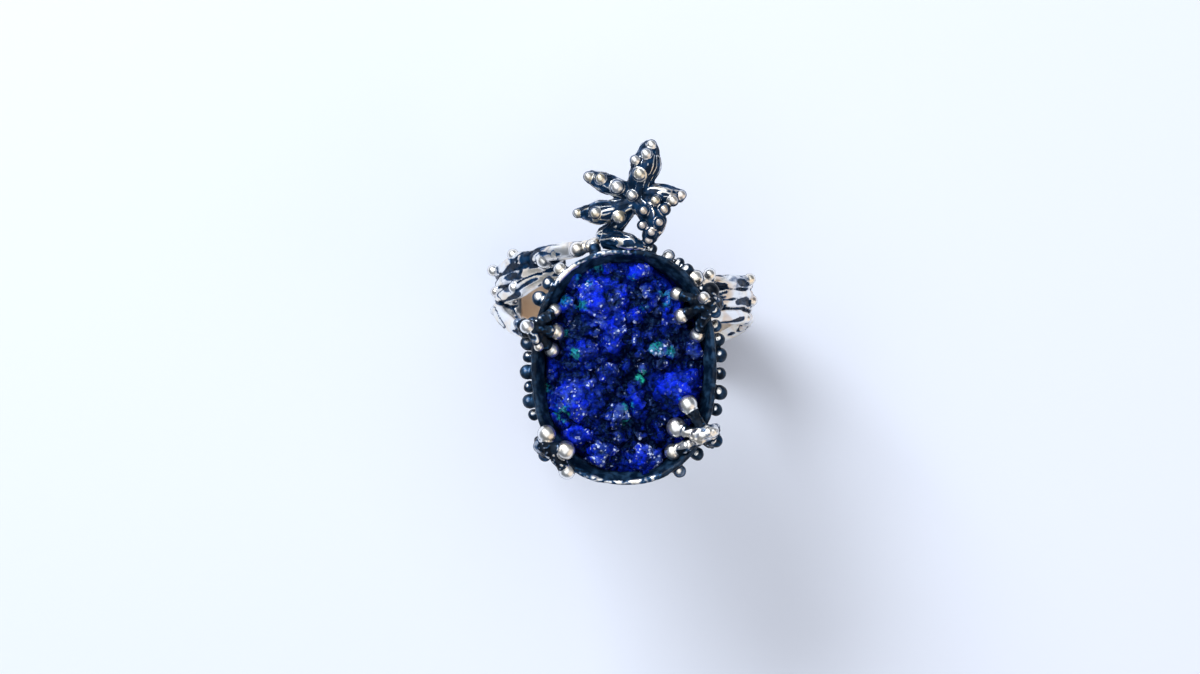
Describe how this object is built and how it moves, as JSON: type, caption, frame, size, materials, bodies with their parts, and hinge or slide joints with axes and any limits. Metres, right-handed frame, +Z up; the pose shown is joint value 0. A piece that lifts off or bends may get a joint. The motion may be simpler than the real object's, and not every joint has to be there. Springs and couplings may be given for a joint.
{
  "type": "raw lapis lazuli ring",
  "caption": "Rough blue stone in an oval silver cup, held by four ball-ended claws on a finger ring of fused twigs with a coral-like sprig.",
  "frame": {"origin": "middle of the flat foot under the band", "axes": "+Z up through the stone, +Y along the finger towards the sprig, +X to the right of the stone"},
  "size_m": [0.0213, 0.0266, 0.0252],
  "materials": {
    "blue_stone": "rough ultramarine crystal crust with green chips",
    "cup_silver": "oxidised silver, nearly black",
    "band_silver": "bright cast silver with darkened creases",
    "sprig_silver": "cast silver with darkened hollows",
    "claw_silver": "dark silver stems with polished ball ends"
  },
  "bodies": {
    "root": {"stone": "blue_stone", "bezel_cup": "cup_silver", "band": "band_silver", "sprig": "sprig_silver", "claw_upper_left": "claw_silver", "claw_upper_right": "claw_silver", "claw_lower_left": "claw_silver", "claw_lower_right": "claw_silver"}
  },
  "joints": []
}
